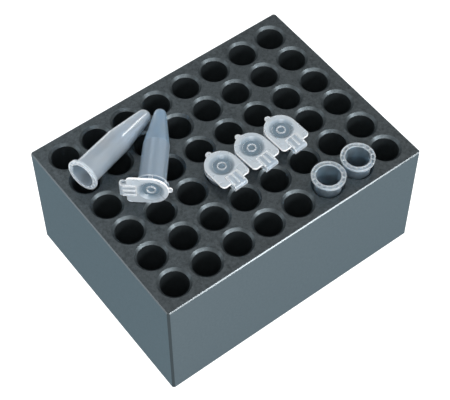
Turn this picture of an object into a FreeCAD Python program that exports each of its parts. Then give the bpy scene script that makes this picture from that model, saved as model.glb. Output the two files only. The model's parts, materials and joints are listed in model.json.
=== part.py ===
import FreeCAD
import Part
import Sketcher
import math
import os

# A heating block with a grid of wells for small conical sample tubes. Two open tubes and three
# capped ones stand in wells, and one of each kind lies on top. Millimetres, +Z up, origin at the
# middle of the block's underside. Each tube, cap and strap is drawn in its tube's own frame: origin
# at the tip, +Z along the axis to the mouth, +X towards the strap.

SIZES = (
    # The block and its wells
    ("well_columns", 8, "wells along the block"),
    ("well_rows", 6, "wells across the block"),
    ("end_margin", 7.25, "outer wells' centres to the end faces"),
    ("side_margin", 7.05, "outer wells' centres to the side faces"),
    ("block_height", 41.3, "underside to top"),
    ("edge_chamfer", 0.3, "chamfer on the block's top and bottom edges"),
    ("corner_chamfer", 0.55, "chamfer on the block's upright edges"),
    ("mouth_chamfer", 0.75, "chamfer on the wells' mouths"),
    ("well_clearance", 0.1, "radial gap between a well and the top of a tube"),
    ("seat_gap", 0.15, "radial gap at the narrow end of a well's seat"),
    ("floor_gap", 0.5, "a seated tip to the bottom of its well"),
    ("tip_depth", 26.2, "block's top to a capped tube's seated tip"),
    ("open_rise", 1.3, "an open tube's seated tip above a capped one's"),
    # The tubes
    ("tube_diameter", 7.9, "outside, under the collar"),
    ("tube_draft", 0.15, "radius lost from the collar to the shoulder"),
    ("mouth_wall", 0.4, "wall at the mouth"),
    ("shoulder_wall", 0.6, "wall from the shoulder to the tip"),
    ("taper_height", 13.5, "tip to the shoulder, where the taper starts"),
    ("tip_radius", 1.9, "rounded tip of a capped tube, outside"),
    ("open_tip_radius", 2.2, "rounded tip of an open tube, outside"),
    ("collar_overhang", 0.95, "collar beyond the tube"),
    ("collar_thickness", 0.35, "collar, along the axis"),
    ("open_stand", 4.1, "block's top to an open tube's collar"),
    ("capped_stand", 2.3, "block's top to a capped tube's collar"),
    ("neighbour_gap", 0.7, "between collars in neighbouring wells"),
    ("rim_height", 0.3, "rims of an open tube's crown, above the collar"),
    ("rim_width", 0.3, "each rim of the crown"),
    ("crown_rib_count", 16, "ribs between the crown's rims"),
    ("crown_rib_width", 0.3, "each rib of the crown"),
    ("crown_rib_drop", 0.08, "top of the rims down to the crown's ribs"),
    ("pad_count", 6, "pads round a capped tube's collar"),
    ("pad_height", 1.0, "pads above the collar"),
    ("pad_width", 1.1, "pads, round the collar"),
    ("pad_inset", 0.15, "mouth's edge to the pads"),
    ("pad_depth", 0.95, "pads, outwards across the collar"),
    # The caps
    ("plate_gap", 0.1, "pads to the cap's plate"),
    ("plate_thickness", 0.6, "cap's plate"),
    ("plate_round", 0.2, "radius of the plate's upper edge"),
    ("ear_reach", 6.7, "axis to the end of the plate's ears"),
    ("ear_round", 1.2, "radius of the ears' corners"),
    ("plug_clearance", 0.25, "radial gap between plug and mouth"),
    ("plug_depth", 3.2, "plug below the plate"),
    ("plug_taper", 0.4, "radius lost down the plug"),
    ("plug_wall", 0.6, "wall of the plug at its end"),
    ("dish_radius", 3.6, "rim of the dished middle"),
    ("dish_floor_radius", 2.55, "flat floor of the dished middle"),
    ("dish_depth", 0.8, "plate's top to the dish's floor"),
    ("dish_round", 0.35, "radius of the dish's rim"),
    ("dish_floor", 0.9, "thickness under the dish"),
    ("ring_radius", 1.3, "raised ring in the dish, outside"),
    ("ring_width", 0.2, "raised ring in the dish"),
    ("ring_height", 0.35, "raised ring above the dish's floor"),
    ("lip_reach", 6.0, "axis to the end of the lift lip"),
    ("lip_offset", 0.45, "lift lip to one side of the strap's line"),
    ("lip_radius", 0.95, "rounded lift lip"),
    ("lip_thickness", 0.35, "lift lip"),
    ("dimple_radius", 0.4, "dimple in the lift lip"),
    ("dimple_depth", 0.15, "dimple in the lift lip"),
    # The straps
    ("strap_width", 4.2, "both leaves"),
    ("strap_thickness", 0.4, "lower leaf"),
    ("lug_reach", 5.6, "axis to the collar's lug, where the lower leaf starts"),
    ("slot_reach", 4.0, "axis to the cap's slot, where the upper leaf starts"),
    ("fold_reach", 8.7, "axis to the fold"),
    ("fold_lip", 0.45, "thickness of the leaves at the fold"),
    ("fold_gap", 0.1, "between the leaves at the fold"),
    ("fold_round", 0.8, "radius of the leaves' outer edges"),
    ("rib_count", 3, "ribs on the upper leaf"),
    ("rib_spacing", 1.75, "between ribs"),
    ("rib_width", 0.45, "each rib"),
    ("rib_height", 0.3, "ribs above the plate"),
    ("rib_end_margin", 0.3, "ribs to the ends of the upper leaf"),
    # The tubes that lie on top
    ("rest_gap", 0.1, "a lying tube to the block's top"),
    ("tip_gap", 0.73, "between the two lying tips"),
    ("tips_along", -4.98, "centre of the well by the lying tips to where they meet, along the block"),
    ("tips_across", -5.25, "the same, across the block"),
)

# Wells counted from the corner at -X, -Y, with how far each capped tube is turned, in degrees
OPEN_WELLS = ((5, 0), (6, 0))
CAPPED_WELLS = ((3, 2, 3.0), (4, 2, 5.0), (5, 2, 3.5))
# The well by the two lying tips
TIPS_WELL = (3, 5)
# The line between the two lying tips, and which way they point, in degrees from +X
TIPS_LINE = -28.8
OPEN_HEADING = 16.9
CAPPED_HEADING = 49.5

doc = FreeCAD.newDocument("heating_block")
sheet = doc.addObject("Spreadsheet::Sheet", "Sizes")
for line, (alias, number, meaning) in enumerate(SIZES, start=1):
    sheet.set(f"A{line}", meaning)
    sheet.set(f"B{line}", str(number))
    sheet.setAlias(f"B{line}", alias)
doc.recompute()

# Sizes that follow from the sheet, as expressions
COLLAR_RADIUS = "(Sizes.tube_diameter / 2 + Sizes.collar_overhang)"
SHOULDER_RADIUS = "(Sizes.tube_diameter / 2 - Sizes.tube_draft)"
MOUTH_RADIUS = "(Sizes.tube_diameter / 2 - Sizes.mouth_wall)"
BORE_RADIUS = "(Sizes.tube_diameter / 2 + Sizes.well_clearance)"
PITCH = f"(2 * {COLLAR_RADIUS} + Sizes.neighbour_gap)"
FIRST_COLUMN = f"((Sizes.well_columns - 1) / 2 * {PITCH})"
FIRST_ROW = f"((Sizes.well_rows - 1) / 2 * {PITCH})"
CAPPED_TIP = "(Sizes.block_height - Sizes.tip_depth)"
OPEN_TIP = f"({CAPPED_TIP} + Sizes.open_rise)"
OPEN_LENGTH = "(Sizes.tip_depth - Sizes.open_rise + Sizes.open_stand)"
CAPPED_LENGTH = "(Sizes.tip_depth + Sizes.capped_stand)"
PLATE_BOTTOM = f"({CAPPED_LENGTH} + Sizes.pad_height + Sizes.plate_gap)"
PLATE_TOP = f"({PLATE_BOTTOM} + Sizes.plate_thickness)"
FOLD_HEIGHT = f"(({CAPPED_LENGTH} + {PLATE_BOTTOM}) / 2)"


def value(expression):
    """The number that an expression over the sheet gives."""
    return float(sheet.evalExpression(expression))


def origin_part(body, role):
    return next(part for part in body.Origin.OriginFeatures if part.Role == role)


def new_sketch(body, name, plane, lift=None):
    """An empty sketch on one of the body's own planes, raised along the plane's normal."""
    sketch = body.newObject("Sketcher::SketchObject", name)
    sketch.AttachmentSupport = [(origin_part(body, plane), "")]
    sketch.MapMode = "FlatFace"
    if lift:
        sketch.setExpression("AttachmentOffset.Base.z", lift)
    return sketch


def bind(sketch, constraint, expression):
    index = sketch.addConstraint(constraint)
    sketch.setExpression(f"Constraints[{index}]", expression)


def pin(sketch, edge, end, corner):
    """Fix one end of an edge at a corner, a pair of expressions, or None for on the axis."""
    across, up = corner
    if across is None:
        sketch.addConstraint(Sketcher.Constraint("PointOnObject", edge, end, -2))
    else:
        bind(sketch, Sketcher.Constraint("DistanceX", -1, 1, edge, end, value(across)), across)
    if up is None:
        sketch.addConstraint(Sketcher.Constraint("PointOnObject", edge, end, -1))
    else:
        bind(sketch, Sketcher.Constraint("DistanceY", -1, 1, edge, end, value(up)), up)


def point(corner):
    across, up = corner
    return FreeCAD.Vector(value(across) if across else 0, value(up) if up else 0, 0)


def draw_lines(sketch, corners, closed=True):
    """Straight edges through the corners, each corner held by its expressions."""
    spots = [point(corner) for corner in corners]
    ends = spots[1:] + spots[:1] if closed else spots[1:]
    edges = [sketch.addGeometry(Part.LineSegment(a, b), False) for a, b in zip(spots, ends)]
    for this, following in zip(edges, edges[1:] + edges[:1] if closed else edges[1:]):
        sketch.addConstraint(Sketcher.Constraint("Coincident", this, 2, following, 1))
    for edge, corner in zip(edges, corners):
        pin(sketch, edge, 1, corner)
    return edges


def rectangle(near, far, half_width):
    """Corners from near to far along X and half_width to each side."""
    return ((near, f"-{half_width}"), (far, f"-{half_width}"), (far, half_width), (near, half_width))


def pad(body, name, sketch, length, midplane=False):
    feature = body.newObject("PartDesign::Pad", name)
    feature.Profile = sketch
    feature.setExpression("Length", length)
    feature.Midplane = midplane
    return feature


def pocket(body, name, sketch, depth):
    """Cut a sketch's outline down into the body."""
    feature = body.newObject("PartDesign::Pocket", name)
    feature.Profile = sketch
    feature.setExpression("Length", depth)
    return feature


def revolve(body, kind, name, sketch):
    """A full turn of a sketch about its own upright axis, added or cut."""
    feature = body.newObject(f"PartDesign::{kind}", name)
    feature.Profile = sketch
    feature.ReferenceAxis = (sketch, ["V_Axis"])
    feature.Angle = 360
    return feature


def new_body(name):
    body = doc.addObject("PartDesign::Body", name)
    body.Label = name
    return body


def edges_along(shape, test):
    """Names of the edges whose two ends both pass a test."""
    return [
        f"Edge{number}"
        for number, edge in enumerate(shape.Edges, start=1)
        if len(edge.Vertexes) == 2 and all(test(vertex.Point) for vertex in edge.Vertexes)
    ]


def near(one, other):
    return abs(one - other) < 1e-6


def circles(shape, radius, height):
    """Names of the full level circles of a radius at a height."""
    return [
        f"Edge{number}"
        for number, edge in enumerate(shape.Edges, start=1)
        if len(edge.Vertexes) == 1 and isinstance(edge.Curve, Part.Circle)
        and near(edge.Curve.Radius, radius) and near(edge.Vertexes[0].Z, height)
    ]


def draw_circle(sketch, radius, centre):
    """A circle held by expressions for its radius and its centre, or None for on the axis."""
    rim = sketch.addGeometry(Part.Circle(point(centre), FreeCAD.Vector(0, 0, 1), value(radius)), False)
    pin(sketch, rim, 3, centre)
    bind(sketch, Sketcher.Constraint("Radius", rim, value(radius)), radius)


def fillet(body, base, name, edges, radius):
    feature = body.newObject("PartDesign::Fillet", name)
    feature.Base = (base, edges)
    feature.setExpression("Radius", radius)
    return feature


def chamfer(body, base, name, edges, size):
    feature = body.newObject("PartDesign::Chamfer", name)
    feature.Base = (base, edges)
    feature.setExpression("Size", size)
    doc.recompute()
    return feature


def repeat_round(body, feature, name, count):
    """A feature repeated evenly about the upright axis."""
    doc.recompute()
    ring = body.newObject("PartDesign::PolarPattern", name)
    ring.Originals = [feature]
    ring.Axis = (origin_part(body, "Z_Axis"), [""])
    ring.Angle = 360
    ring.setExpression("Occurrences", count)
    body.Tip = ring


def block_outlines(shape):
    """Names of the edges round the block's underside and top."""
    top = value("Sizes.block_height")
    lower = edges_along(shape, lambda spot: near(spot.z, 0))
    upper = edges_along(shape, lambda spot: near(spot.z, top))
    return lower + upper


def make_block():
    """A chamfered slab with a grid of stepped wells: mouth chamfer, bore, tapered seat, flat floor."""
    body = new_body("block")
    half_length = f"({FIRST_COLUMN} + Sizes.end_margin)"
    half_width = f"({FIRST_ROW} + Sizes.side_margin)"
    base = new_sketch(body, "block_outline", "XY_Plane")
    draw_lines(base, rectangle(f"-{half_length}", half_length, half_width))
    slab = pad(body, "slab", base, "Sizes.block_height")
    doc.recompute()
    every = [f"Edge{number}" for number in range(1, len(slab.Shape.Edges) + 1)]
    outlines = block_outlines(slab.Shape)
    upright = [edge for edge in every if edge not in outlines]
    corners = chamfer(body, slab, "slab_corners", upright, "Sizes.corner_chamfer")
    chamfer(body, corners, "slab_edges", block_outlines(corners.Shape), "Sizes.edge_chamfer")

    profile = new_sketch(body, "well_profile", "XZ_Plane", FIRST_ROW)
    profile.setExpression("AttachmentOffset.Base.x", f"-{FIRST_COLUMN}")
    top = "Sizes.block_height"
    seat_radius = "(Sizes.tip_radius + Sizes.seat_gap)"
    shoulder = f"{top} - Sizes.tip_depth + Sizes.taper_height"
    seat_end = f"{top} - Sizes.tip_depth + Sizes.tip_radius"
    floor = f"{top} - Sizes.tip_depth - Sizes.floor_gap"
    draw_lines(profile, (
        (None, top),
        (f"{BORE_RADIUS} + Sizes.mouth_chamfer", top),
        (BORE_RADIUS, f"{top} - Sizes.mouth_chamfer"),
        (BORE_RADIUS, shoulder),
        (seat_radius, seat_end),
        (seat_radius, floor),
        (None, floor),
    ))
    well = revolve(body, "Groove", "first_well", profile)
    doc.recompute()
    grid = body.newObject("PartDesign::LinearPattern", "well_grid")
    grid.Originals = [well]
    grid.Direction = (origin_part(body, "X_Axis"), [""])
    grid.setExpression("Length", f"2 * {FIRST_COLUMN}")
    grid.setExpression("Occurrences", "Sizes.well_columns")
    grid.Direction2 = (origin_part(body, "Y_Axis"), [""])
    grid.setExpression("Length2", f"2 * {FIRST_ROW}")
    grid.setExpression("Occurrences2", "Sizes.well_rows")
    body.Tip = grid
    return body


def tip_tangent(corner, radius, centre_height):
    """Angle on a tip circle where the line from a corner of the taper touches it."""
    across = corner.x
    up = corner.y - centre_height
    return math.atan2(up, across) - math.acos(radius / math.hypot(across, up))


def tip_centre(radius, end_height):
    """Middle of a tip's round, which ends on the axis at a height, or None for at the origin."""
    return point((None, end_height)) + FreeCAD.Vector(0, value(radius), 0)


def draw_tip(sketch, taper, radius, end_height):
    """The round of a tip, from the axis to where it runs smoothly into a taper edge's far end."""
    size = value(radius)
    centre = tip_centre(radius, end_height)
    start = sketch.Geometry[taper].StartPoint
    angle = tip_tangent(start, size, centre.y)
    circle = Part.Circle(centre, FreeCAD.Vector(0, 0, 1), size)
    arc = sketch.addGeometry(Part.ArcOfCircle(circle, -math.pi / 2, angle), False)
    sketch.addConstraint(Sketcher.Constraint("Tangent", taper, 2, arc, 2))
    sketch.addConstraint(Sketcher.Constraint("PointOnObject", arc, 3, -2))
    pin(sketch, arc, 1, (None, end_height))
    bind(sketch, Sketcher.Constraint("Radius", arc, size), radius)
    return arc


def draw_side(sketch, corners, radius, end_height):
    """One side of a tube's wall, from its mouth through the taper to the round of its tip."""
    last = tip_centre(radius, end_height) + FreeCAD.Vector(value(radius), 0, 0)
    edges = draw_lines(sketch, corners, closed=False)
    taper = sketch.addGeometry(Part.LineSegment(point(corners[-1]), last), False)
    sketch.addConstraint(Sketcher.Constraint("Coincident", edges[-1], 2, taper, 1))
    pin(sketch, taper, 1, corners[-1])
    return draw_tip(sketch, taper, radius, end_height)


def make_wall(name, length, tip, brim):
    """A tapered tube with a collar and a round tip of a radius.

    The brim is its corners from the mouth out to the collar's edge.
    """
    body = new_body(name)
    profile = new_sketch(body, f"{name}_profile", "XZ_Plane")
    underside = f"{length} - Sizes.collar_thickness"
    inner_shoulder = f"{SHOULDER_RADIUS} - Sizes.shoulder_wall"
    outside = draw_side(profile, brim + (
        (COLLAR_RADIUS, underside),
        ("Sizes.tube_diameter / 2", underside),
        (SHOULDER_RADIUS, "Sizes.taper_height"),
    ), tip, None)
    inside = draw_side(profile, (
        brim[0],
        (inner_shoulder, "Sizes.taper_height"),
    ), f"({tip} - Sizes.shoulder_wall)", "Sizes.shoulder_wall")
    tip_inside = point((None, "Sizes.shoulder_wall"))
    end = profile.addGeometry(Part.LineSegment(point((None, None)), tip_inside), False)
    profile.addConstraint(Sketcher.Constraint("Coincident", end, 1, outside, 1))
    profile.addConstraint(Sketcher.Constraint("Coincident", end, 2, inside, 1))
    revolve(body, "Revolution", f"{name}_wall", profile)
    return body


def make_open_tube(name):
    """A tube whose collar has a crown: an inner and an outer rim with short ribs between them."""
    top = f"{OPEN_LENGTH} + Sizes.rim_height"
    inner_rim = f"{MOUTH_RADIUS} + Sizes.rim_width"
    outer_rim = f"{COLLAR_RADIUS} - Sizes.rim_width"
    body = make_wall(name, OPEN_LENGTH, "Sizes.open_tip_radius", (
        (MOUTH_RADIUS, top),
        (inner_rim, top),
        (inner_rim, OPEN_LENGTH),
        (outer_rim, OPEN_LENGTH),
        (outer_rim, top),
        (COLLAR_RADIUS, top),
    ))
    outline = new_sketch(body, f"{name}_rib_outline", "XY_Plane", OPEN_LENGTH)
    rib_start = f"{inner_rim} - Sizes.rim_width / 2"
    rib_end = f"{outer_rim} + Sizes.rim_width / 2"
    draw_lines(outline, rectangle(rib_start, rib_end, "Sizes.crown_rib_width / 2"))
    rib = pad(body, f"{name}_rib", outline, "Sizes.rim_height - Sizes.crown_rib_drop")
    repeat_round(body, rib, f"{name}_ribs", "Sizes.crown_rib_count")
    return body


def make_capped_tube(name):
    """A tube whose plain collar has a lug for the strap and pads that the cap's plate rests on."""
    body = make_wall(name, CAPPED_LENGTH, "Sizes.tip_radius", (
        (MOUTH_RADIUS, CAPPED_LENGTH),
        (COLLAR_RADIUS, CAPPED_LENGTH),
    ))
    underside = f"{CAPPED_LENGTH} - Sizes.collar_thickness"
    lug = new_sketch(body, f"{name}_lug_outline", "XY_Plane", underside)
    draw_lines(lug, rectangle("Sizes.tube_diameter / 2", "Sizes.lug_reach", "Sizes.strap_width / 2"))
    pad(body, f"{name}_lug", lug, "Sizes.collar_thickness")

    # The first pad stands along +Y, so that none is above the strap
    outline = new_sketch(body, f"{name}_pad_outline", "XY_Plane", CAPPED_LENGTH)
    pad_start = f"{MOUTH_RADIUS} + Sizes.pad_inset"
    along_x = rectangle(pad_start, f"{pad_start} + Sizes.pad_depth", "Sizes.pad_width / 2")
    draw_lines(outline, tuple((side, out) for out, side in along_x))
    first = pad(body, f"{name}_pad", outline, "Sizes.pad_height")
    repeat_round(body, first, f"{name}_pads", "Sizes.pad_count")
    return body


def make_cap(name):
    """A plate with square ears and a lift lip, a hollow plug below and a dished middle above."""
    body = new_body(name)
    plate = new_sketch(body, f"{name}_outline", "XY_Plane", PLATE_BOTTOM)
    size = value(COLLAR_RADIUS)
    side = draw_lines(plate, (
        (None, f"-{COLLAR_RADIUS}"),
        ("Sizes.ear_reach", f"-{COLLAR_RADIUS}"),
        ("Sizes.ear_reach", COLLAR_RADIUS),
        (None, COLLAR_RADIUS),
    ), closed=False)
    circle = Part.Circle(FreeCAD.Vector(0, 0, 0), FreeCAD.Vector(0, 0, 1), size)
    back = plate.addGeometry(Part.ArcOfCircle(circle, math.pi / 2, 3 * math.pi / 2), False)
    plate.addConstraint(Sketcher.Constraint("Coincident", back, 3, -1, 1))
    plate.addConstraint(Sketcher.Constraint("Coincident", back, 1, side[-1], 2))
    plate.addConstraint(Sketcher.Constraint("Coincident", back, 2, side[0], 1))
    plate.addConstraint(Sketcher.Constraint("PointOnObject", back, 1, -2))
    slab = pad(body, f"{name}_plate", plate, "Sizes.plate_thickness")
    doc.recompute()
    reach = value("Sizes.ear_reach")
    right = edges_along(slab.Shape, lambda spot: near(spot.x, reach) and near(spot.y, -size))
    left = edges_along(slab.Shape, lambda spot: near(spot.x, reach) and near(spot.y, size))
    ears = fillet(body, slab, f"{name}_ears", right + left, "Sizes.ear_round")
    doc.recompute()
    top = value(PLATE_TOP)
    upper = edges_along(ears.Shape, lambda spot: near(spot.z, top))
    fillet(body, ears, f"{name}_upper_edge", upper, "Sizes.plate_round")

    lip = new_sketch(body, f"{name}_lip_outline", "XY_Plane", PLATE_BOTTOM)
    lip_centre = ("-(Sizes.lip_reach - Sizes.lip_radius)", "-Sizes.lip_offset")
    draw_circle(lip, "Sizes.lip_radius", lip_centre)
    pad(body, f"{name}_lip", lip, "Sizes.lip_thickness")
    dent = new_sketch(body, f"{name}_dimple_outline", "XY_Plane", f"{PLATE_BOTTOM} + Sizes.lip_thickness")
    draw_circle(dent, "Sizes.dimple_radius", lip_centre)
    pocket(body, f"{name}_dimple", dent, "Sizes.dimple_depth")

    floor = f"{PLATE_TOP} - Sizes.dish_depth"
    plug_radius = f"({MOUTH_RADIUS} - Sizes.plug_clearance)"
    plug_end = f"{PLATE_BOTTOM} - Sizes.plug_depth"
    plug_tip = f"{plug_radius} - Sizes.plug_taper"
    plug = new_sketch(body, f"{name}_plug_profile", "XZ_Plane")
    draw_lines(plug, (
        (None, f"{floor} - Sizes.dish_floor"),
        (f"{plug_tip} - Sizes.plug_wall", f"{floor} - Sizes.dish_floor"),
        (f"{plug_tip} - Sizes.plug_wall", plug_end),
        (plug_tip, plug_end),
        (plug_radius, PLATE_BOTTOM),
        (plug_radius, PLATE_TOP),
        (None, PLATE_TOP),
    ))
    revolve(body, "Revolution", f"{name}_plug", plug)

    dish = new_sketch(body, f"{name}_dish_profile", "XZ_Plane")
    ring_inside = "Sizes.ring_radius - Sizes.ring_width"
    ring_top = f"{floor} + Sizes.ring_height"
    draw_lines(dish, (
        (None, floor),
        (ring_inside, floor),
        (ring_inside, ring_top),
        ("Sizes.ring_radius", ring_top),
        ("Sizes.ring_radius", floor),
        ("Sizes.dish_floor_radius", floor),
        ("Sizes.dish_radius", PLATE_TOP),
        (None, PLATE_TOP),
    ))
    hollow = revolve(body, "Groove", f"{name}_dish", dish)
    doc.recompute()
    rim = circles(hollow.Shape, value("Sizes.dish_radius"), top)
    fillet(body, hollow, f"{name}_dish_rim", rim, "Sizes.dish_round")

    slot = new_sketch(body, f"{name}_slot_outline", "XY_Plane", PLATE_TOP)
    draw_lines(slot, rectangle("Sizes.slot_reach", "Sizes.fold_reach", "Sizes.strap_width / 2"))
    pocket(body, f"{name}_slot", slot, "Sizes.plate_thickness")
    return body


def round_fold(body, leaf, name, height):
    """Round the leaf's outer edge, which runs across the strap at a height beside the fold."""
    doc.recompute()
    reach = value("Sizes.fold_reach")
    level = value(height)
    edges = edges_along(leaf.Shape, lambda spot: near(spot.x, reach) and near(spot.z, level))
    fillet(body, leaf, name, edges, "Sizes.fold_round")


def make_lower_strap(name):
    """The leaf that runs out from the collar's lug and turns up at the fold."""
    body = new_body(name)
    profile = new_sketch(body, f"{name}_profile", "XZ_Plane")
    bottom = f"{CAPPED_LENGTH} - Sizes.collar_thickness"
    top = f"{bottom} + Sizes.strap_thickness"
    lip_top = f"{FOLD_HEIGHT} - Sizes.fold_gap / 2"
    lip_start = "Sizes.fold_reach - Sizes.fold_lip"
    draw_lines(profile, (
        ("Sizes.lug_reach", bottom),
        ("Sizes.fold_reach", bottom),
        ("Sizes.fold_reach", lip_top),
        (lip_start, lip_top),
        (lip_start, top),
        ("Sizes.lug_reach", top),
    ))
    leaf = pad(body, f"{name}_leaf", profile, "Sizes.strap_width", midplane=True)
    round_fold(body, leaf, f"{name}_fold", bottom)
    return body


def make_upper_strap(name):
    """The ribbed leaf that fills the cap's slot and turns down at the fold."""
    body = new_body(name)
    profile = new_sketch(body, f"{name}_profile", "XZ_Plane")
    lip_bottom = f"{FOLD_HEIGHT} + Sizes.fold_gap / 2"
    lip_start = "Sizes.fold_reach - Sizes.fold_lip"
    draw_lines(profile, (
        ("Sizes.slot_reach", PLATE_BOTTOM),
        (lip_start, PLATE_BOTTOM),
        (lip_start, lip_bottom),
        ("Sizes.fold_reach", lip_bottom),
        ("Sizes.fold_reach", PLATE_TOP),
        ("Sizes.slot_reach", PLATE_TOP),
    ))
    leaf = pad(body, f"{name}_leaf", profile, "Sizes.strap_width", midplane=True)
    round_fold(body, leaf, f"{name}_fold", PLATE_TOP)

    outer_rib = "(Sizes.rib_count - 1) / 2 * Sizes.rib_spacing"
    rib_start = "Sizes.slot_reach + Sizes.rib_end_margin"
    rib_end = "Sizes.fold_reach - Sizes.fold_round - Sizes.rib_end_margin"
    outline = new_sketch(body, f"{name}_rib_outline", "XY_Plane", PLATE_TOP)
    draw_lines(outline, (
        (rib_start, f"-({outer_rib} + Sizes.rib_width / 2)"),
        (rib_end, f"-({outer_rib} + Sizes.rib_width / 2)"),
        (rib_end, f"-({outer_rib} - Sizes.rib_width / 2)"),
        (rib_start, f"-({outer_rib} - Sizes.rib_width / 2)"),
    ))
    rib = pad(body, f"{name}_rib", outline, "Sizes.rib_height")
    doc.recompute()
    ribs = body.newObject("PartDesign::LinearPattern", f"{name}_ribs")
    ribs.Originals = [rib]
    ribs.Direction = (origin_part(body, "Y_Axis"), [""])
    ribs.setExpression("Length", f"2 * {outer_rib}")
    ribs.setExpression("Occurrences", "Sizes.rib_count")
    body.Tip = ribs
    return body


def column_place(column):
    """Expression for the X of a column of wells."""
    return f"{column} * {PITCH} - {FIRST_COLUMN}"


def row_place(row):
    """Expression for the Y of a row of wells."""
    return f"{row} * {PITCH} - {FIRST_ROW}"


def stand(bodies, column, row, turn, tip_height):
    """Stand pieces in a well, the strap towards -Y and turned on from there, in degrees."""
    upright = FreeCAD.Rotation(FreeCAD.Vector(0, 0, 1), turn - 90)
    for body in bodies:
        body.Placement = FreeCAD.Placement(FreeCAD.Vector(0, 0, 0), upright)
        body.setExpression("Placement.Base.x", column_place(column))
        body.setExpression("Placement.Base.y", row_place(row))
        body.setExpression("Placement.Base.z", tip_height)


def lay(bodies, length, tip, heading, side):
    """Lay pieces on the block, tip along the heading, on collar and shoulder.

    tip is the radius of the tip. side is -1 or 1: which side of the meeting point the tip is on,
    along the line between the tips.
    """
    taper = value("Sizes.taper_height")
    straight = value(f"{length} - Sizes.collar_thickness") - taper
    shoulder = value(SHOULDER_RADIUS)
    slope = math.atan2(value(COLLAR_RADIUS) - shoulder, straight)
    tip_height = value("Sizes.rest_gap") + shoulder * math.cos(slope) - taper * math.sin(slope)
    ahead = FreeCAD.Vector(math.cos(math.radians(heading)), math.sin(math.radians(heading)), 0)
    left = FreeCAD.Vector(-ahead.y, ahead.x, 0)
    axis = ahead * -math.cos(slope) + FreeCAD.Vector(0, 0, math.sin(slope))
    between = math.radians(TIPS_LINE)
    apart = side * value(f"{tip} + Sizes.tip_gap / 2")
    column, row = TIPS_WELL
    tip_ball = FreeCAD.Vector(
        value(f"{column_place(column)} + Sizes.tips_along") + apart * math.cos(between),
        value(f"{row_place(row)} + Sizes.tips_across") + apart * math.sin(between),
        0,
    )
    base = tip_ball - axis * value(tip)
    base.z = value("Sizes.block_height") + tip_height
    turned = FreeCAD.Rotation(left, axis.cross(left), axis, "ZXY")
    for body in bodies:
        body.Placement = FreeCAD.Placement(base, turned)


def make_capped(number):
    """A capped tube: the tube with its lug, its cap and the two leaves of its strap."""
    return (
        make_capped_tube(f"tube_{number}"),
        make_cap(f"cap_{number}"),
        make_lower_strap(f"lower_strap_{number}"),
        make_upper_strap(f"upper_strap_{number}"),
    )


def make_all():
    """Every piece in its place."""
    pieces = [make_block()]
    for number, (column, row) in enumerate(OPEN_WELLS, start=1):
        tube = make_open_tube(f"open_tube_{number}")
        stand([tube], column, row, 0, OPEN_TIP)
        pieces.append(tube)
    lying = make_open_tube(f"open_tube_{len(OPEN_WELLS) + 1}")
    lay([lying], OPEN_LENGTH, "Sizes.open_tip_radius", OPEN_HEADING, -1)
    pieces.append(lying)
    for number, (column, row, turn) in enumerate(CAPPED_WELLS, start=1):
        capped = make_capped(number)
        stand(capped, column, row, turn, CAPPED_TIP)
        pieces.extend(capped)
    lying_capped = make_capped(len(CAPPED_WELLS) + 1)
    lay(lying_capped, CAPPED_LENGTH, "Sizes.tip_radius", CAPPED_HEADING, 1)
    pieces.extend(lying_capped)
    return pieces


def check(pieces):
    """Stop if any object of the document failed, or a piece is not one valid solid."""
    for item in doc.Objects:
        if "Invalid" in item.State or "Error" in item.State:
            raise RuntimeError(f"{item.Label} failed: {item.State}")
    for piece in pieces:
        shape = piece.Shape
        if shape.isNull() or not shape.isValid() or len(shape.Solids) != 1:
            raise RuntimeError(f"{piece.Label} is not one valid solid")


pieces = make_all()
doc.recompute()
check(pieces)
os.makedirs("parts", exist_ok=True)
for piece in pieces:
    piece.Shape.exportStep(f"parts/{piece.Label}.step")
    print(f"{piece.Label}: {piece.Shape.Volume:.2f} mm3")
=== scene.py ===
"""Looks of a heating block and its sample tubes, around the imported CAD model, in metres."""
import json
import math

import bpy
import numpy as np
from mathutils import Matrix, Quaternion, Vector


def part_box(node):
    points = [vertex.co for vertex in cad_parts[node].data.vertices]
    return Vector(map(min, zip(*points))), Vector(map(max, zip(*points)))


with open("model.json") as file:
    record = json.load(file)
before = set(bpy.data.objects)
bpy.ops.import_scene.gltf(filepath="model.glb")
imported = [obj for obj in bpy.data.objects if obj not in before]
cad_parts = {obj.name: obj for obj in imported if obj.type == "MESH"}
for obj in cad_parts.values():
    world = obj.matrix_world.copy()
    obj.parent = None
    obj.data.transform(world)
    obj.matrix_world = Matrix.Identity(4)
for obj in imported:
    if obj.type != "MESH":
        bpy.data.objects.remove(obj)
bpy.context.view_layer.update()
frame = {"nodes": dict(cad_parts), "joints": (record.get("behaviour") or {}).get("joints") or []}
nodes = frame["nodes"]
block_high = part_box("block")[1]
BLOCK_TOP = block_high.z
UP = Vector((0, 0, 1))

# Sizes that the looks follow, from the CAD model. The radius between a tube's inside, where shade is
# painted, and its outside lies within the wall.
EDGE_CHAMFER = 0.0003
CORNER_CHAMFER = 0.00055
FOLD_TO_AXIS = 0.0087
FOLD_TO_SHOULDER = 0.01555
MOUTH_TO_SHOULDER = 0.0155
SHADED_INSIDE_RADIUS = 0.00365
DISH_RADIUS = 0.0036
DISH_FLOOR_RADIUS = 0.00255
CAPPED_TUBES = (1, 2, 3, 4)

# Where a cap's plate begins around its dish, and from where its rim counts in full
PLATE_START_RADIUS = DISH_RADIUS * 1.05
PLATE_RADIUS = DISH_RADIUS * 1.1

# How far one look takes to turn into the next
CHAMFER_STEP = 0.00002
CORNER_STEP = 0.00005
SHADED_INSIDE_STEP = 0.00005
SHOULDER_STEP = 0.0005
FROST_STEP = 0.0004

# Widths of the edges painted pale as highlights
TUBE_EDGE = 0.0003
STRAP_EDGE = 0.0005
CAP_EDGE = 0.0004
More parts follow.
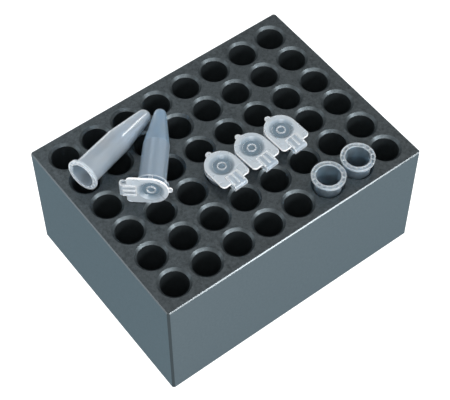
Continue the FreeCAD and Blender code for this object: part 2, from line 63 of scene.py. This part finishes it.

# Darkest and palest tints of the anodised sides and top, and the tints of the chamfers. The top's darker
# tints are painted shade besides its grain, and the upright corner chamfers' tint is painted shade.
SIDE_TINTS = ((0.098, 0.119, 0.131), (0.124, 0.149, 0.163))
TOP_TINTS = ((0.046, 0.054, 0.058), (0.120, 0.138, 0.149))
CORNER_SHADE_TINT = (0.055, 0.063, 0.067)
RUBBED_TINT = (0.105, 0.116, 0.123)
METAL_GLOSS_TINT = (0.34, 0.43, 0.48, 1)
SATIN_ROUGHNESS = (0.38, 0.48)
RUBBED_ROUGHNESS = 0.285

# Darkest and palest tints of the plastics, and the tints of their edges and special places. The pale edge
# tints are painted highlights, the dark dish tint is painted shade, and the standing open tubes' bluer
# tints are painted shade.
CLEAR = ((0.70, 0.83, 0.95), (0.82, 0.90, 0.97))
SHADED_COPY_TINTS = ((0.62, 0.80, 0.95), (0.73, 0.87, 0.97))
BLUE_CLEAR = ((0.54, 0.76, 0.96), (0.64, 0.83, 0.98))
MILKY = ((0.66, 0.74, 0.81), (0.76, 0.82, 0.87))
FROST_TINT = (0.52, 0.65, 0.77)
DISH_SHADE_TINT = (0.30, 0.42, 0.52)
TUBE_HIGHLIGHT_TINT = (0.95, 0.97, 0.98)
CAP_HIGHLIGHT_TINT = (0.98, 0.99, 1.0)

# Shares of light that go through the plastics. The standing open tubes' share is painted shade, clearer so
# that they look darker; the hazy share, also the strap's, is painted light on the lying open tube, making
# it paler than the standing ones.
SHADED_COPY_SHARE = 0.945
HAZY_AND_LIT_SHARE = 0.76
BLUE_SHARE = 0.84
# The inside of the lying open tube, made clearer as painted shade
SHADED_INSIDE_SHARE = 0.96
FROST_SHARE = 0.74
SLANT_FROST_SHARE = 0.35
HIGHLIGHT_SHARE = 0.1
PLATE_SHARE = 0.5
DISH_SHARE = 0.62
# What is left of a clear wall's share where the wall is seen along itself
SLANT_PART = 0.5

TUBE_ROUGHNESS = (0.33, 0.39)
FROST_ROUGHNESS = 0.42
CAP_ROUGHNESS = (0.22, 0.34)
PLASTIC_IOR = 1.42

# The photo's camera, worked out from the block's corners and the rims of its wells
PHOTO_WIDTH = 450
FOCAL_PIXELS = 1361.7
SENSOR_MM = 36.0
AIM = Vector((-0.01007, -0.01312, BLOCK_TOP))
CAMERA_DISTANCE = 0.37475
CAMERA_HEADING = math.radians(36.84)
CAMERA_ELEVATION = math.radians(54.89)
CAMERA_ROLL = math.radians(-0.43)

FLOOR_SIZE = 6
FLOOR_TINT = (0.15, 0.15, 0.15, 1)
FLOOR_GLOW = 1.25
STUDIO_TINT = (1.0, 0.99, 0.97, 1)
STUDIO_STRENGTH = 0.5

WHITE = (1, 1, 1)
WARM = (1.0, 0.96, 0.92)
COOL = (0.9, 0.96, 1.0)
COOLEST = (0.85, 0.94, 1.0)

# Each light's name, direction from the block's top, distance, width and height, watts and colour
LIGHTS = (
    ("key", (0.345, -0.818, 0.46), 0.6, (0.16, 0.13), 1.5, WHITE),
    ("right", (0.775, 0.038, 0.635), 0.6, (0.085, 0.085), 0.35, WARM),
    ("left", (-0.818, 0.46, 0.345), 0.7, (0.26, 0.26), 0.5, COOL),
    ("overhead", (-0.30, -0.42, 0.86), 0.8, (0.4, 0.4), 2.25, WHITE),
    ("front", (-0.25, -0.93, 0.26), 0.7, (0.3, 0.3), 2.1, WHITE),
    ("back", (0.08, 0.70, 0.71), 0.8, (0.4, 0.4), 0.55, COOLEST),
)


def make_camera():
    """The camera at the photo's viewing angle."""
    level = math.cos(CAMERA_ELEVATION)
    forward = Vector((
        math.sin(CAMERA_HEADING) * level,
        math.cos(CAMERA_HEADING) * level,
        -math.sin(CAMERA_ELEVATION),
    ))
    data = bpy.data.cameras.new("camera")
    data.sensor_width = SENSOR_MM
    data.lens = FOCAL_PIXELS / PHOTO_WIDTH * SENSOR_MM
    camera = bpy.data.objects.new("camera", data)
    bpy.context.scene.collection.objects.link(camera)
    turn = (-forward).to_track_quat("Z", "Y") @ Quaternion((0, 0, 1), CAMERA_ROLL)
    place = Matrix.Translation(AIM - forward * CAMERA_DISTANCE)
    camera.matrix_world = place @ turn.to_matrix().to_4x4()
    bpy.context.scene.camera = camera


class Finish:
    """A material's node tree, with short calls that add nodes and join them."""

    def __init__(self, name):
        self.material = bpy.data.materials.new(name)
        self.material.use_nodes = True
        self.tree = self.material.node_tree
        self.shader = self.tree.nodes["Principled BSDF"]
        self.place = self.add("ShaderNodeTexCoord").outputs["Object"]

    def add(self, kind, **settings):
        """A new node with some of its settings."""
        node = self.tree.nodes.new(kind)
        for name, value in settings.items():
            setattr(node, name, value)
        return node

    def feed(self, value, socket):
        """Join an output to a socket, or set a plain value on it."""
        if isinstance(value, bpy.types.NodeSocket):
            self.tree.links.new(value, socket)
        else:
            socket.default_value = value

    def set(self, **values):
        """Values or outputs on the shader's own sockets, their names with _ for spaces."""
        for name, value in values.items():
            self.feed(value, self.shader.inputs[name.replace("_", " ")])

    def noise(self, per_metre, detail=2.0, rough=0.5):
        """A cloudy number around one half, fixed to the piece."""
        node = self.add("ShaderNodeTexNoise")
        node.inputs["Scale"].default_value = per_metre
        node.inputs["Detail"].default_value = detail
        node.inputs["Roughness"].default_value = rough
        self.feed(self.place, node.inputs["Vector"])
        return node.outputs["Fac"]

    def ramp(self, value, low, high, start=0.3, end=0.7):
        """A number that goes from low to high as the value goes from start to end."""
        node = self.add("ShaderNodeMapRange", clamp=True)
        for name, number in (("From Min", start), ("From Max", end), ("To Min", low), ("To Max", high)):
            node.inputs[name].default_value = number
        self.feed(value, node.inputs["Value"])
        return node.outputs["Result"]

    def mix(self, factor, low, high):
        """A number between low and high."""
        node = self.add("ShaderNodeMix", data_type="FLOAT")
        for value, socket in zip((factor, low, high), (node.inputs[0], node.inputs[2], node.inputs[3])):
            self.feed(value, socket)
        return node.outputs[0]

    def blend(self, factor, low, high):
        """A colour between low and high, each an output or three numbers."""
        node = self.add("ShaderNodeMix", data_type="RGBA")
        self.feed(factor, node.inputs[0])
        for value, socket in zip((low, high), (node.inputs[6], node.inputs[7])):
            self.feed((*value, 1) if isinstance(value, tuple) else value, socket)
        return node.outputs[2]

    def tinted(self, value, tints):
        """A colour from the darkest to the palest tint as a cloudy value rises."""
        return self.blend(self.ramp(value, 0, 1), *tints)

    def vector(self, operation, one, other=None):
        """A vector operation on outputs or plain vectors."""
        node = self.add("ShaderNodeVectorMath", operation=operation)
        self.feed(one, node.inputs[0])
        if other is not None:
            self.feed(other, node.inputs[1])
        return node.outputs["Value" if operation in ("DOT_PRODUCT", "LENGTH") else "Vector"]

    def size(self, value):
        """A number without its sign."""
        node = self.add("ShaderNodeMath", operation="ABSOLUTE")
        self.feed(value, node.inputs[0])
        return node.outputs[0]

    def larger(self, one, other):
        """The larger of two numbers."""
        node = self.add("ShaderNodeMath", operation="MAXIMUM")
        self.feed(one, node.inputs[0])
        self.feed(other, node.inputs[1])
        return node.outputs[0]

    def radius(self, centre, axis):
        """The distance from an axis through a centre."""
        offset = self.vector("SUBTRACT", self.place, centre)
        return self.vector("LENGTH", self.vector("CROSS_PRODUCT", offset, axis))

    def upward(self, start=0.5, end=0.9):
        """0 on upright faces, 1 on level ones, turning between two upward parts of the normal."""
        normal = self.add("ShaderNodeNewGeometry").outputs["True Normal"]
        return self.ramp(self.vector("DOT_PRODUCT", normal, UP), 0, 1, start=start, end=end)

    def top_chamfers(self):
        """1 on the chamfers round the block's top, 0 elsewhere."""
        inner = Vector((block_high.x - EDGE_CHAMFER, block_high.y - EDGE_CHAMFER, 0))
        beyond = self.add("ShaderNodeSeparateXYZ")
        self.feed(self.vector("SUBTRACT", self.vector("ABSOLUTE", self.place), inner), beyond.inputs[0])
        most = self.larger(beyond.outputs["X"], beyond.outputs["Y"])
        outside = self.ramp(most, 0, 1, start=0, end=CHAMFER_STEP)
        return self.mix(self.upward(start=0.5, end=0.6), 0, outside)

    def corners(self):
        """1 on the upright chamfers, where both plan coordinates added up are greatest."""
        plan = self.vector("ABSOLUTE", self.place)
        outward = self.vector("DOT_PRODUCT", plan, Vector((1, 1, 0)))
        furthest = block_high.x + block_high.y - CORNER_CHAMFER
        return self.ramp(outward, 0, 1, start=furthest - 2 * CORNER_STEP, end=furthest - CORNER_STEP)

    def edges(self, width):
        """0 on open faces, rising to 1 at sharp edges."""
        rounded = self.add("ShaderNodeBevel", samples=4)
        rounded.inputs["Radius"].default_value = width
        plain = self.add("ShaderNodeNewGeometry").outputs["True Normal"]
        turn = self.size(self.vector("DOT_PRODUCT", rounded.outputs["Normal"], plain))
        return self.ramp(turn, 0, 1, start=0.95, end=0.82)

    def slant(self):
        """0 where a clear wall is seen square on, 1 where it is seen along itself."""
        facing = self.add("ShaderNodeLayerWeight").outputs["Facing"]
        return self.ramp(facing, 0, 1, start=0.62, end=0.97)

    def wall(self, edge, slant, share, slant_share):
        """The share of light through a wall, square on and along itself, and least at its edges, which are
        painted pale as highlights.
        """
        return self.mix(edge, self.mix(slant, share, slant_share), HIGHLIGHT_SHARE)

    def inside(self, mouth, axis):
        """1 on the inside of a tube's straight wall, 0 elsewhere."""
        along = self.vector("DOT_PRODUCT", self.vector("SUBTRACT", self.place, mouth), axis)
        straight = self.ramp(along, 0, 1, start=-MOUTH_TO_SHOULDER, end=SHOULDER_STEP - MOUTH_TO_SHOULDER)
        radius = self.radius(mouth, axis)
        inner = self.ramp(radius, 1, 0, start=SHADED_INSIDE_RADIUS, end=SHADED_INSIDE_RADIUS + SHADED_INSIDE_STEP)
        return self.mix(straight, 0, inner)

    def rim(self, radius, axis):
        """1 where a cap's plate rounds off at its rim, 0 on its flat faces and on its dish."""
        normal = self.add("ShaderNodeTexCoord").outputs["Normal"]
        level = self.size(self.vector("DOT_PRODUCT", normal, axis))
        rounded = self.ramp(level, 1, 0, start=0.55, end=0.96)
        return self.mix(self.ramp(radius, 0, 1, start=PLATE_START_RADIUS, end=PLATE_RADIUS), 0, rounded)

    def bump(self, height, strength, distance):
        """Fine relief on the shader's normal."""
        node = self.add("ShaderNodeBump")
        node.inputs["Strength"].default_value = strength
        node.inputs["Distance"].default_value = distance
        self.feed(height, node.inputs["Height"])
        self.set(Normal=node.outputs["Normal"])

    def flow_marks(self, per_metre):
        """The faint waviness of moulded plastic."""
        self.bump(self.noise(per_metre, detail=0), strength=0.03, distance=0.00005)


def anodised():
    """Dark satin anodised aluminium with a fine blasted grain, plainest on the sides, and a top painted
    darker than the sides as shade.

    Handling has rubbed the chamfers round the top smoother, and the upright ones are painted darker as
    shade.
    """
    finish = Finish("anodised_aluminium")
    grain = finish.noise(per_metre=3400, detail=3, rough=0.75)
    cloud = finish.ramp(finish.noise(per_metre=70), low=0.3, high=0.7)
    shade = finish.mix(cloud, grain, finish.noise(per_metre=1200))
    # The top's tints are darker than the sides': painted shade, besides the real grain
    faces = finish.blend(finish.upward(), finish.tinted(shade, SIDE_TINTS), finish.tinted(shade, TOP_TINTS))
    # Painted shade: the upright corner chamfers are darker
    base = finish.blend(finish.corners(), faces, CORNER_SHADE_TINT)
    rubbed = finish.top_chamfers()
    finish.set(
        Metallic=0.9,
        Specular_Tint=METAL_GLOSS_TINT,
        Base_Color=finish.blend(rubbed, base, RUBBED_TINT),
        Roughness=finish.mix(rubbed, finish.ramp(grain, *SATIN_ROUGHNESS), RUBBED_ROUGHNESS),
    )
    finish.bump(grain, strength=0.1, distance=0.00004)
    return finish.material


def tube_plastic(name, tints, share, frosted=None, shaded_inside=None, edge_width=TUBE_EDGE):
    """Clear moulded polypropylene with a soft haze, faint flow marks and edges painted pale as highlights.

    share is how much of the light goes through. frosted is an axis and how far along it the wall
    turns from clear to frosted. lining is the middle of a mouth and the axis to it: there the
    inside of the wall is made clearer than the outside, so that it looks darker, as painted shade.
    """
    finish = Finish(name)
    haze = finish.noise(per_metre=160, detail=1)
    # Painted highlights: the sharp edges are painted pale and nearly opaque
    edge = finish.edges(edge_width)
    slant = finish.slant()
    tint = finish.tinted(haze, tints)
    clear = finish.wall(edge, slant, share, share * SLANT_PART)
    rough = finish.ramp(haze, *TUBE_ROUGHNESS)
    # Painted shade: the inside of the wall is made clearer so that it looks darker
    if shaded_inside:
        clear = finish.mix(finish.inside(*shaded_inside), clear, SHADED_INSIDE_SHARE)
    if frosted:
        axis, start = frosted
        along = finish.vector("DOT_PRODUCT", finish.place, axis)
        frost = finish.ramp(along, 0, 1, start=start, end=start + FROST_STEP)
        tint = finish.blend(frost, tint, FROST_TINT)
        clear = finish.mix(frost, clear, finish.wall(edge, slant, FROST_SHARE, SLANT_FROST_SHARE))
        rough = finish.mix(frost, rough, FROST_ROUGHNESS)
    finish.set(
        Base_Color=finish.blend(edge, tint, TUBE_HIGHLIGHT_TINT),
        Roughness=rough,
        IOR=PLASTIC_IOR,
        Transmission_Weight=clear,
        Coat_Weight=0.9,
        Coat_Roughness=0.07,
    )
    finish.flow_marks(per_metre=140)
    return finish.material


def cap_plastic(name, centre, axis):
    """Milky moulded polypropylene with edges and rim painted pale as highlights, thinner and clearer in the
    dished middle, which is also painted darker as shade.
    """
    finish = Finish(name)
    haze = finish.noise(per_metre=200, detail=1)
    radius = finish.radius(centre, axis)
    dish = finish.ramp(radius, 1, 0, start=DISH_FLOOR_RADIUS, end=PLATE_RADIUS)
    # Painted highlights: the sharp edges and the plate's rounded rim are painted pale
    edge = finish.larger(finish.edges(CAP_EDGE), finish.rim(radius, axis))
    # Painted shade: the dish is tinted darker
    tint = finish.blend(dish, finish.tinted(haze, MILKY), DISH_SHADE_TINT)
    clear = finish.ramp(dish, PLATE_SHARE, DISH_SHARE, start=0, end=1)
    finish.set(
        Base_Color=finish.blend(edge, tint, CAP_HIGHLIGHT_TINT),
        Roughness=finish.ramp(haze, *CAP_ROUGHNESS),
        IOR=PLASTIC_IOR,
        Transmission_Weight=finish.mix(edge, clear, HIGHLIGHT_SHARE),
        Coat_Weight=0.3,
        Coat_Roughness=0.12,
    )
    finish.flow_marks(per_metre=240)
    return finish.material


def dress(names, material):
    """One material in place of those that the pieces came with."""
    for name in names:
        slots = nodes[name].data.materials
        slots.clear()
        slots.append(material)


def capped_frame(number):
    """A point on a capped tube's axis, level with its fold, and the axis from tip to mouth."""
    joint = next(joint for joint in frame["joints"] if joint["name"] == f"cap_{number}_hinge")
    hinge = Vector(joint["axis"])
    outward = hinge.cross(UP).normalized()
    return Vector(joint["pos_m"]) - outward * FOLD_TO_AXIS, outward.cross(hinge)


def mouth_frame(name):
    """The middle of an open tube's mouth, and its axis from tip to mouth, from its mesh."""
    spots = np.array([vertex.co for vertex in nodes[name].data.vertices])
    middle = spots.mean(axis=0)
    axis = np.linalg.svd(spots - middle, full_matrices=False)[2][0]
    along = (spots - middle) @ axis
    across = np.linalg.norm(spots - middle - np.outer(along, axis), axis=1)
    # The collar, beside the mouth, is the widest place
    toward = math.copysign(1, along[across.argmax()])
    reach = (along * toward).max()
    return Vector(middle + axis * toward * reach), Vector(axis * toward)


def dress_capped(number):
    """A capped tube's own looks, frosted from its shoulder to its mouth."""
    centre, axis = capped_frame(number)
    shoulder = centre.dot(axis) - FOLD_TO_SHOULDER
    wall = tube_plastic(f"frosted_polypropylene_{number}", BLUE_CLEAR, BLUE_SHARE, frosted=(axis, shoulder))
    dress([f"tube_{number}"], wall)
    dress([f"cap_{number}"], cap_plastic(f"natural_polypropylene_{number}", centre, axis))


def dress_part():
    """Every piece of the part in its own material."""
    dress(["block"], anodised())
    # Painted shade: the standing open tubes get a copy of the plastic that is clearer and bluer, so that
    # they look darker
    clear = tube_plastic("clear_polypropylene", SHADED_COPY_TINTS, SHADED_COPY_SHARE)
    dress(["open_tube_1", "open_tube_2"], clear)
    # Painted light: the lying open tube gets a copy that is hazier and paler, so that it looks brighter
    lit_copy = tube_plastic("polypropylene_painted_light", CLEAR, HAZY_AND_LIT_SHARE, shaded_inside=mouth_frame("open_tube_3"))
    dress(["open_tube_3"], lit_copy)
    strap = tube_plastic("strap_polypropylene", CLEAR, HAZY_AND_LIT_SHARE, edge_width=STRAP_EDGE)
    dress([name for name in nodes if "strap" in name], strap)
    for number in CAPPED_TUBES:
        dress_capped(number)


def make_floor():
    """A plain bright floor."""
    bpy.ops.mesh.primitive_plane_add(size=FLOOR_SIZE, location=(0, 0, 0))
    floor = bpy.context.object
    floor.name = "floor"
    finish = Finish("floor")
    finish.set(
        Base_Color=FLOOR_TINT,
        Roughness=0.8,
        Emission_Color=(*WHITE, 1),
        Emission_Strength=FLOOR_GLOW,
    )
    floor.data.materials.append(finish.material)


def make_light(name, direction, distance, size, watts, colour):
    """A soft rectangular light that faces the block from a direction."""
    data = bpy.data.lights.new(name, "AREA")
    data.shape = "RECTANGLE"
    data.size, data.size_y = size
    data.energy = watts
    data.color = colour
    light = bpy.data.objects.new(name, data)
    bpy.context.scene.collection.objects.link(light)
    toward = Vector(direction).normalized()
    light.location = toward * distance + Vector((0, 0, BLOCK_TOP))
    light.rotation_euler = toward.to_track_quat("Z", "Y").to_euler()


def make_world():
    """Even studio light from all around."""
    world = bpy.data.worlds.new("studio")
    bpy.context.scene.world = world
    world.use_nodes = True
    shade = world.node_tree.nodes["Background"]
    shade.inputs["Color"].default_value = STUDIO_TINT
    shade.inputs["Strength"].default_value = STUDIO_STRENGTH


bpy.context.scene.view_settings.view_transform = "Standard"
make_camera()
make_floor()
make_world()
for light in LIGHTS:
    make_light(*light)
dress_part()
